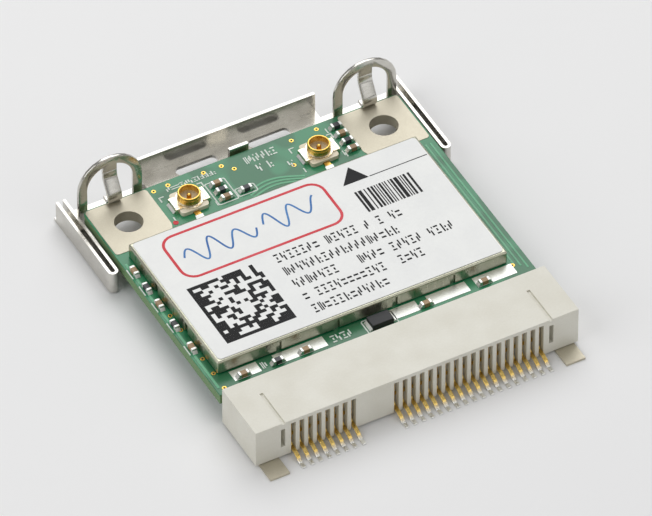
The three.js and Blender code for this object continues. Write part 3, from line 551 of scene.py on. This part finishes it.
def keep(node, material):
    """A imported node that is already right, with a better material."""
    piece = frame["nodes"][node]
    piece.data.materials.clear()
    piece.data.materials.append(material)


# %% [markdown]
# ## The board, its pads and its fingers
#
# A routed board has a slightly broken edge, so its edges are rounded by a few hundredths. The
# gold fingers and the tinned pads are plated copper that stands just above the board.

# %% The bare board
finer("card_board", BOARD_GREEN, radius=0.05)
for bank in ("short_bank", "long_bank"):
    for face in ("top", "bottom"):
        keep(f"{face}_fingers_{bank}", GOLD)
for side in ("left", "right"):
    finer(f"{side}_corner_pad", TIN, radius=0.015, segments=1, smooth=30)


# %% [markdown]
# ## The shield can and its chips
#
# The lid is drawn from thin tinned sheet, so its outer bends are soft and its cut slots stay
# sharp. The chips are hidden under it, but they are there: black epoxy packages with a
# moulded edge.

# %% Can and chips
def is_outer_bend(edge):
    """Whether an edge of the lid lies where two of its outer faces meet."""
    centre = (edge.verts[0].co + edge.verts[1].co) / 2
    planes = ((centre.x, LID_X), (centre.y, LID_Y), (centre.z, LID_Z[1:]))
    return sum(min(abs(at - face) for face in faces) < 0.001 for at, faces in planes) >= 2


finer("shield_lid", CAN_STEEL, radius=0.19, segments=4, smooth=30, chosen=is_outer_bend)
keep("shield_frame", CAN_STEEL)
for node in ("radio_chip", "left_amplifier", "right_amplifier", "memory_chip", "power_inductor",
             "regulator_chip", "edge_filter"):
    finer(node, EPOXY, radius=0.06)
finer("crystal", TIN, radius=0.12)
finer("label", LABEL_FILM, radius=0.02, segments=1)


# %% [markdown]
# ## The antenna jacks
#
# Each jack is a cream moulded base with a gold ring that the plug snaps over and a pin in its
# middle. The ring's flange runs out to two solder wings. A little solder climbs each wing.

# %% Jacks
for side in ("left", "right"):
    finer(f"{side}_jack_base", JACK_PLASTIC, radius=0.05)
    finer(f"{side}_jack_shell", SHELL_GOLD, radius=0.02, segments=1, smooth=30)
    finer(f"{side}_jack_pin", GOLD, radius=0.02, segments=1, smooth=30)


# %% [markdown]
# ## The socket
#
# The housing is moulded ivory polymer with a row of fine ribs between its contacts. The
# contacts are bent gold-plated strip. The lower ones carry the card's edge, and give a little
# as it tilts.

# %% Housing and contacts
CONTACT_BEND = [Vector((0, 0, z * MM)) for z in (1.15, 1.57)]  # up a lower contact's free end
finer("socket_housing", IVORY, radius=0.06)
for bank in ("short_bank", "long_bank"):
    finer(f"upper_contacts_{bank}", CONTACT_GOLD, radius=0.025, segments=1)
    lower = f"lower_contacts_{bank}"
    finish_piece(copied(lower), f"{lower}_surface", "socket", CONTACT_GOLD, stands_for=[lower],
                 blend=("socket", "card", *CONTACT_BEND))
for side in ("left", "right"):
    finer(f"{side}_hold_down", TIN, radius=0.03)


# %% [markdown]
# ## The latch
#
# The latch is one piece of bright spring strip. Its fixed part stays with the socket. A release
# loop bends up from its foot, and its legs are cut into short lengths up its height.

# %% Latch
finer("latch_base", SPRING_STEEL, radius=0.05)
LOOP_FOOT_Z = LATCH_Z[0] + 0.29
BEND_START_Z, BEND_END_Z = 0.36, 2.4
BEND_CUTS = 8
for side in ("left", "right"):
    node = f"{side}_release_loop"
    bm = copied(node)
    lowest = min(v.co.z for v in bm.verts)
    for vert in bm.verts:
        if vert.co.z < lowest + 0.01:
            vert.co.z = LOOP_FOOT_Z
    round_edges(bm, radius=0.05, sharper_than=60)
    for step in range(1, BEND_CUTS + 1):
        height = LOOP_FOOT_Z + (BEND_END_Z - LOOP_FOOT_Z) * step / BEND_CUTS
        everything = bm.verts[:] + bm.edges[:] + bm.faces[:]
        bmesh.ops.bisect_plane(bm, geom=everything, dist=1e-5, plane_co=(0, 0, height),
                               plane_no=(0, 0, 1))
    loop_bend = [Vector((0, 0, z * MM)) for z in (BEND_START_Z, BEND_END_Z)]
    finish_piece(bm, f"{node}_surface", f"{side}_latch", SPRING_STEEL,
                 stands_for=[node], smooth=35, blend=("socket", f"{side}_latch", *loop_bend))
    finer(f"{side}_hook_tongue", SPRING_STEEL, radius=0.05, smooth=35, sharper_than=60)


# %% [markdown]
# ## Small ceramic parts
#
# A chip capacitor is a block of fired ceramic with a tinned cap at each end, held by a fillet
# of solder. The body and the ends are two pieces, because they are two materials.

# %% Capacitors
END_SHARE = 0.26  # each tinned end takes about a quarter of the length
BODY_TRIM = 0.015  # the ceramic stands this far inside its ends
SMALL_PARTS = sorted(node for node in frame["nodes"] if "_capacitor_" in node)
DARK_PARTS = {"rear_capacitor_2", "rear_capacitor_4", "jack_capacitor_1", "jack_capacitor_3",
              "side_capacitor_2", "side_capacitor_4", "edge_capacitor_2", "under_capacitor_3"}


def long_way(x, y):
    """0 if a part is longer along x, 1 if it is longer along y."""
    return 0 if x[1] - x[0] > y[1] - y[0] else 1


def small_part(node, material):
    x, y, z = spans(node)
    lengthwise = long_way(x, y)
    long_span = (x, y)[lengthwise]
    end = END_SHARE * (long_span[1] - long_span[0])
    body, ends = bmesh.new(), bmesh.new()
    core = [(low + BODY_TRIM, high - BODY_TRIM) for low, high in (x, y, z)]
    box(body, *core, radius=0.03)
    for span in ((long_span[0], long_span[0] + end), (long_span[1] - end, long_span[1])):
        cap = [x, y, z]
        cap[lengthwise] = span
        box(ends, *cap, radius=0.06)
    finish_piece(body, f"{node}_body", "card", material)
    finish_piece(ends, f"{node}_ends", "card", SOLDER, stands_for=[node])


for node in SMALL_PARTS:
    small_part(node, RESISTOR_BLACK if node in DARK_PARTS else CAPACITOR_TAN)


# %% [markdown]
# ## Print on the label
#
# The label is polyester film from a thermal printer, with a red box and a note in blue pen.
# None of its print says anything here: the code is chance squares and the lines are chance
# strokes. Ink has almost no thickness, but a slab of a hundredth of a millimetre gives each
# mark its own material with a crisp edge, and no image is needed.

# %% Label print
INK_Z = (LABEL_Z[1] - 0.01, LABEL_Z[1] + 0.012)
chance = random.Random(11)


def on_label(u, v):
    """A place on the label from its front left corner, along and across, in millimetres."""
    return LABEL_X[0] + u, LABEL_Y[0] + v


def slab(bm, u, v, z=INK_Z):
    """A flat printed bar, by its spans on the label."""
    (x0, y0), (x1, y1) = on_label(u[0], v[0]), on_label(u[1], v[1])
    box(bm, (x0, x1), (y0, y1), z)


# Marks with the rhythm of small print: ticks, dashes and dots as shares of the letter height.
STROKES = [
    [(0.0, 0.13, 0.0, 0.62), (0.2, 0.33, 0.3, 1.0)],
    [(0.0, 0.42, 0.1, 0.28), (0.0, 0.42, 0.6, 0.78)],
    [(0.04, 0.17, 0.0, 1.0), (0.28, 0.42, 0.0, 0.2), (0.28, 0.42, 0.42, 0.62)],
    [(0.0, 0.13, 0.38, 1.0), (0.2, 0.33, 0.0, 0.62), (0.4, 0.5, 0.8, 1.0)],
    [(0.02, 0.4, 0.84, 1.0), (0.02, 0.4, 0.0, 0.16), (0.14, 0.28, 0.36, 0.64)],
    [(0.0, 0.1, 0.0, 1.0), (0.17, 0.27, 0.0, 1.0), (0.36, 0.48, 0.2, 0.8)],
]


def fine_print(bm, u, v, height, make=slab, advance=0.6):
    """A line of chance strokes from u[0] to u[1], with a gap now and then."""
    at = u[0]
    while at + 0.5 < u[1]:
        if chance.random() > 0.1:
            for left, right, low, high in chance.choice(STROKES):
                make(bm, (at + left, at + right), (v + low * height, v + high * height))
        at += advance


# Each line of small print: its span along the label, and how far up the label it stands.
TEXT_LINES = [((9.6, 21.9), 7.6), ((9.6, 20.4), 5.95), ((9.6, 14.2), 4.3), ((15.7, 25.3), 4.3),
              ((9.6, 21.4), 2.65), ((9.6, 17.7), 1.0)]
TEXT_HEIGHT = 1.0
black = bmesh.new()
for u, v in TEXT_LINES:
    fine_print(black, u, v, TEXT_HEIGHT)

# The square code: chance cells in rows, with a solid bar on its left and front sides.
CELL, COLUMNS, ROWS = 0.36, 18, 20
CODE_U, CODE_V = 1.5, 1.3
CELL_GAP = 0.012  # keeps one run of cells from sharing a wall with the next
for row in range(ROWS):
    filled = [row == 0 or column == 0 or chance.random() < 0.5 for column in range(COLUMNS)]
    column = 0
    while column < COLUMNS:
        run = 0
        while column + run < COLUMNS and filled[column + run]:
            run += 1
        if run:
            slab(black, (CODE_U + column * CELL, CODE_U + (column + run) * CELL - CELL_GAP),
                 (CODE_V + row * CELL, CODE_V + (row + 1) * CELL - CELL_GAP))
        column += max(run, 1)

# The bar code, a plain black triangle, and the thin rule beside it.
BAR_CODE_U, BAR_CODE_V = (19.1, 24.2), (9.3, 11.9)
BAR_WIDTHS, BAR_GAPS = (0.1, 0.1, 0.2, 0.32), (0.12, 0.12, 0.22)
TRIANGLE = [(18.7, 13.0), (21.1, 13.0), (20.1, 14.8)]
RULE_U, RULE_V = (21.2, LABEL_X[1] - LABEL_X[0] - 0.1), (13.0, 13.08)
at = BAR_CODE_U[0]
while at < BAR_CODE_U[1]:
    bar = chance.choice(BAR_WIDTHS)
    slab(black, (at, at + bar), BAR_CODE_V)
    at += bar + chance.choice(BAR_GAPS)
corners = [black.verts.new((*on_label(u, v), INK_Z[0])) for u, v in TRIANGLE]
triangle = bmesh.ops.extrude_face_region(black, geom=[black.faces.new(corners)])["geom"]
raised = [g for g in triangle if isinstance(g, bmesh.types.BMVert)]
bmesh.ops.translate(black, vec=(0, 0, INK_Z[1] - INK_Z[0]), verts=raised)
slab(black, RULE_U, RULE_V)
bmesh.ops.recalc_face_normals(black, faces=black.faces)
finish_piece(black, "label_black_print", "card", BLACK_INK)

RED_BOX_CORNER, RED_LINE = 1.2, 0.25
red = bmesh.new()
(left, front), (right, rear) = on_label(2.1, 9.4), on_label(17.1, 14.6)
ribbon(red, rounded_path((left, right), (front, rear), RED_BOX_CORNER), RED_LINE, INK_Z)
finish_piece(red, "label_red_box", "card", RED_INK)

# A pen note, as two runs of waves that never quite repeat and spell nothing.
# A wave stays round where its crest's radius is more than half the line's width.
PEN_STEPS = 24  # points to a wave
WAVE = 2.3
PEN_WIDTH = 0.17
PEN_V, PEN_CLIMB = 11.65, 0.05  # where the note starts, and how much it rises per millimetre
PEN_RUNS = [(3.1, 3), (10.7, 2.25)]  # where each run starts, and how many waves it has
pen = bmesh.new()
for start, waves in PEN_RUNS:
    stroke = []
    for i in range(int(waves * PEN_STEPS) + 1):
        turn = 2 * math.pi * i / PEN_STEPS
        swing = 1.0 + 0.22 * math.cos(0.43 * turn + start)
        u = start + WAVE * i / PEN_STEPS
        stroke.append(on_label(u, PEN_V + PEN_CLIMB * u + swing * math.sin(turn)))
    ribbon(pen, stroke, PEN_WIDTH, INK_Z)
finish_piece(pen, "label_pen_note", "card", BLUE_PEN)


# %% [markdown]
# ## Solder
#
# A surface-mounted part stands on tinned pads, and the solder climbs its ends in a wedge as
# it wets them. A wedge is a box whose far top edge is pulled down to the board.

# %% Pads and fillets
PAD_THICK = 0.03
SUNK = 0.01         # what lies on the board starts this far inside it, so no gap shows
WEDGE_TOE = 0.15    # how much of its height a wedge keeps at its far end
WEDGE_INSET = 0.03  # a wedge is narrower than its part by this much on each side
WING_SOLDER = 0.34  # how far solder creeps in over a jack's wing


def wedge(bm, x, y, z, way):
    """A box whose top falls to nothing towards (way x, way y)."""
    made = bmesh.ops.create_cube(bm, size=1, matrix=Matrix.Translation((middle(x), middle(y), middle(z)))
                                 @ Matrix.Diagonal((x[1] - x[0], y[1] - y[0], z[1] - z[0], 1)))
    centre = Vector((middle(x), middle(y), middle(z)))
    for vert in made["verts"]:
        offset = vert.co - centre
        if offset.x * way[0] + offset.y * way[1] > 0:
            vert.co.z = z[0] + (vert.co.z - z[0]) * WEDGE_TOE


def around(centre, half):
    return centre - half, centre + half


def beyond(end, sign, reach):
    """The span that runs outwards from an end, whichever way sign points."""
    return (end, end + reach) if sign > 0 else (end - reach, end)


def soldered_ends(bm, node, reach, climb=0.6):
    """A wedge of solder at each end of a small part on the card's top face."""
    x, y, z = spans(node)
    if z[0] < middle(CARD_Z):
        return
    lengthwise = long_way(x, y)
    for sign, end in zip((-1, 1), (x, y)[lengthwise]):
        footprint = [(low + WEDGE_INSET, high - WEDGE_INSET) for low, high in (x, y)]
        footprint[lengthwise] = beyond(end, sign, reach)
        way = [0, 0]
        way[lengthwise] = sign
        wedge(bm, *footprint, (TOP - SUNK, TOP + climb * (z[1] - z[0])), way)


solder = bmesh.new()
for node in SMALL_PARTS:
    soldered_ends(solder, node, reach=0.2)
soldered_ends(solder, "edge_filter", reach=0.25, climb=0.4)
for side in ("left", "right"):
    x, y, z = spans(f"{side}_jack_shell")
    for sign, end in zip((-1, 1), x):
        wedge(solder, beyond(end, sign, 0.2), around(middle(y), 0.6), (TOP - SUNK, TOP + 0.2), (sign, 0))
        box(solder, beyond(end, -sign, WING_SOLDER), around(middle(y), 0.55),
            (FLANGE_TOP - 0.02, FLANGE_TOP + 0.04), radius=0.02, segments=1)
    tail_x, tail_y = spans(f"{side}_jack_pin")[:2]
    wedge(solder, around(middle(tail_x), 0.36), beyond(tail_y[0], -1, 0.32),
          (TOP - SUNK, TOP + 0.12), (0, -1))
finish_piece(solder, "solder_fillets", "card", SOLDER)


# %% [markdown]
# ## Copper, holes and white print on the board
#
# Under the mask run copper tracks, which show as raised lighter lines. Vias are small plated
# holes. Bare tinned strips in front of the can ground it. The white print is silk-screened
# ink: outlines round the parts and short strokes that stand for their labels.

# %% Board details
MASK_Z = (TOP - SUNK, TOP + 0.02)
TINNED_Z = (TOP - SUNK, TOP + PAD_THICK)
SILK_Z = (TOP - SUNK, TOP + 0.03)
UNDER_TRACK_Z = (UNDER - 0.02, UNDER + SUNK)
UNDER_PAD_Z = (UNDER - 0.025, UNDER + SUNK)
FRONT, REAR = CARD_Y
BEHIND_CAN = LID_Y[1]
JACK_AT = {side: [middle(span) for span in spans(f"{side}_jack_base")[:2]]
           for side in ("left", "right")}

# The bare strips stop where a small part or the filter stands between them.
STRIPS_X = [(-13.1, -10.6), (-9.1, -4.4), (-0.2, 4.3), (5.3, 9.0), (9.7, 13.4)]
STRIPS_Y = (LID_Y[0] - 1.35, LID_Y[0] - 0.15)
strips = bmesh.new()
for x in STRIPS_X:
    box(strips, x, STRIPS_Y, TINNED_Z, radius=0.012, segments=1)
finish_piece(strips, "can_ground_strips", "card", SOLDER)


def bend(start, end, rise, steps=16):
    """A smooth S-shaped path from start to end, which leaves and arrives along x."""
    points = []
    for i in range(steps + 1):
        t = i / steps
        ease = t * t * (3 - 2 * t)
        bow = rise * math.sin(math.pi * t)
        points.append((start[0] + t * (end[0] - start[0]), start[1] + ease * (end[1] - start[1]) + bow))
    return points


# Three tracks sweep between the jacks, one feeds each jack, and others run along the edges.
SWEEP_FROM, SWEEP_TO = (-1.7, BEHIND_CAN + 1.0), (3.4, BEHIND_CAN + 0.7)
SWEEP_PITCH = 0.42
tracks = bmesh.new()
for step in range(3):
    shift = SWEEP_PITCH * step
    sweep = bend((SWEEP_FROM[0], SWEEP_FROM[1] + shift), (SWEEP_TO[0], SWEEP_TO[1] + shift * 0.8), 0.7)
    ribbon(tracks, sweep, 0.2, MASK_Z)
for x, y in JACK_AT.values():
    ribbon(tracks, [(x, y - 2.1), (x, BEHIND_CAN + 0.05)], 0.45, MASK_Z)
left_edge = CARD_X[0] + 0.35
ribbon(tracks, [(left_edge, FRONT + 3.2), (left_edge, REAR - 7.2)], 0.22, MASK_Z)
for shift in (0, 0.45, 0.9):
    x = CARD_X[1] - 0.5 - shift
    ribbon(tracks, [(x, FRONT + 3.4 + shift), (x, REAR - 6.6)], 0.16, MASK_Z)
finish_piece(tracks, "top_tracks", "card", TRACE_GREEN)


def via(rings, hole_shades, x, y, z, radius=0.24):
    """A plated hole: a thin ring, with a dark disc of painted shade for its hole standing a hair above
    it.
    """
    up = 1 if z > middle(CARD_Z) else -1
    ring = sorted((z - up * SUNK, z + up * 0.022))
    hole_shade_z = sorted((z - up * SUNK, z + up * 0.03))
    disc(rings, x, y, ring, radius, sides=14)
    disc(hole_shades, x, y, hole_shade_z, radius * 0.5, sides=10)


# On top a row of vias stitches each side, and a few more lie behind the can and by the latch.
LEFT_ROW = [(CARD_X[0] + 0.75, FRONT + 3 + 1.9 * i) for i in range(8)]
RIGHT_ROW = [(CARD_X[1] - 1.55, FRONT + 4.2 + 2.1 * i) for i in range(7)]
NEAR_LATCH = [(-8.6, 0.7), (-7.2, 0.6), (-3.9, 0.7), (-2.2, 0.7), (4.4, 0.8), (6.9, 0.6), (-1.4, 1.5)]
NEAR_CAN = [(0.1, 0.45), (-4.6, 0.5), (7.7, 0.55)]
top_vias = LEFT_ROW + RIGHT_ROW + [(x, REAR - inward) for x, inward in NEAR_LATCH]
top_vias += [(x, BEHIND_CAN + outward) for x, outward in NEAR_CAN]
top_vias += [(3.2, REAR - 3.5), (-8.5, BEHIND_CAN + 0.6)]
rings, hole_shades = bmesh.new(), bmesh.new()
for x, y in top_vias:
    via(rings, hole_shades, x, y, TOP, radius=0.2)

# The underside has a staggered row of vias behind the fingers, and a field with some left out.
FAN_PITCH = 1.01
for i in range(26):
    via(rings, hole_shades, CARD_X[0] + 2.4 + FAN_PITCH * i, FRONT + 4.3 + 0.7 * (i % 3), UNDER)
for i in range(9):
    for j in range(5):
        if (i + 2 * j) % 4:
            via(rings, hole_shades, -9.2 + 2.3 * i, FRONT + 11.4 + 2.4 * j, UNDER)
finish_piece(rings, "via_rings", "card", GOLD)
# The dark discs are painted shade where the via holes are.
finish_piece(hole_shades, "via_hole_shade_discs", "card", VIA_HOLE_SHADE)

# Below, tracks fan out from the fingers with a short jog, and others run on towards the latch.
under_tracks = bmesh.new()
for i in range(24):
    x = CARD_X[0] + 2.9 + FAN_PITCH * i
    jogged = [(x, FRONT + 2.5), (x, FRONT + 3.4), (x + 0.5, FRONT + 4.0), (x + 0.5, FRONT + 6.6)]
    ribbon(under_tracks, jogged, 0.16, UNDER_TRACK_Z)
for i in range(7):
    x, y = -10.5 + 3.1 * i, FRONT + 7.6 + 0.4 * (i % 2)
    stepped = [(x, y), (x, y + 2.6), (x + 1.3, y + 3.9), (x + 1.3, REAR - 7.2)]
    ribbon(under_tracks, stepped, 0.2, UNDER_TRACK_Z)
finish_piece(under_tracks, "underside_tracks", "card", TRACE_GREEN)

# Round test pads near the latch, and a pad under each end of the parts below.
pads = bmesh.new()
for i in range(8):
    disc(pads, -8.4 + 2.4 * i, REAR - 2.2 - 1.6 * (i % 2), UNDER_PAD_Z, radius=0.5, sides=20)
for node in SMALL_PARTS:
    if node.startswith("under_"):
        x, y, z = spans(node)
        for end in y:
            box(pads, (x[0] - 0.1, x[1] + 0.1), around(end, 0.22), UNDER_TRACK_Z)
finish_piece(pads, "underside_pads", "card", TIN)


# %% [markdown]
# ## White print
#
# A maker prints the outlines of parts and short labels on the mask in white ink, through a
# screen. A real line is about a hundredth of a millimetre thick. Here it is a thin slab, as on
# the label, and its small marks are the same chance strokes.

# %% White print
SILK_LINE = 0.12
silk = bmesh.new()


def silk_bar(bm, x, y):
    box(bm, x, y, SILK_Z)


def silk_outline(x, y, clear_x, clear_y=0.22):
    """A rounded line round a part or a group, clear of its ends and its sides."""
    path = rounded_path((x[0] - clear_x, x[1] + clear_x), (y[0] - clear_y, y[1] + clear_y), 0.15, steps=3)
    ribbon(silk, path, 0.11, SILK_Z)


# A jack has a corner mark behind it on each side, a tick in front, and a name to its left.
NAME_Y = {"left": 1.1, "right": -0.4}
for side, (x, y) in JACK_AT.items():
    for sign in (-1, 1):
        corner = x + sign * 2.05
        silk_bar(silk, beyond(corner, -sign, 0.5), (y + 1.55, y + 1.55 + SILK_LINE))
        silk_bar(silk, beyond(corner, -sign, SILK_LINE), (y + 1.05, y + 1.55))
        silk_bar(silk, beyond(corner, -sign, SILK_LINE), (y - 1.5, y - 0.95))
    fine_print(silk, (x - 3.4, x - 2.2), y + NAME_Y[side], 0.8, silk_bar, 0.55)
group = [spans(f"rear_capacitor_{i}") for i in (1, 2, 3)]
group_y = (min(y[0] for x, y, z in group), max(y[1] for x, y, z in group))
silk_outline(group[0][0], group_y, clear_x=0.42)
fourth_x, fourth_y = spans("rear_capacitor_4")[:2]
silk_outline(fourth_x, fourth_y, clear_x=0.38)
for i in (1, 2, 3, 4):
    x, y, z = spans(f"jack_capacitor_{i}")
    silk_bar(silk, (x[0] - 0.45, x[0] - 0.34), (y[0] - 0.05, y[1] + 0.05))
fine_print(silk, (-0.2, 3.4), REAR - 1.55, 0.85, silk_bar, 0.5)
fine_print(silk, (0.3, 2.2), REAR - 2.8, 0.85, silk_bar, 0.5)
for i in (1, 2, 3, 4, 5):
    x, y, z = spans(f"side_capacitor_{i}")
    silk_bar(silk, (x[0] - 0.22, x[0] - 0.12), (y[0] - 0.1, y[1] + 0.1))
filter_x, filter_y = spans("edge_filter")[:2]
silk_outline(filter_x, filter_y, clear_x=0.4, clear_y=0.2)
fine_print(silk, (-3.9, -1.4), FRONT + 3.3, 0.8, silk_bar, 0.5)
fine_print(silk, (-10.4, -9.3), FRONT + 3.4, 0.75, silk_bar, 0.5)
fine_print(silk, (-7.6, -2.6), REAR - 1.3, 0.5, silk_bar, 0.42)
finish_piece(silk, "white_silkscreen", "card", SILKSCREEN)

# A dab of red ink that an inspector leaves beside the left pad.
dab = bmesh.new()
disc(dab, PAD_X[1] + 0.35, PAD_Y[0] + 1.1, SILK_Z, radius=0.24, sides=18)
finish_piece(dab, "red_check_dab", "card", RED_INK)


# %% [markdown] ## The end
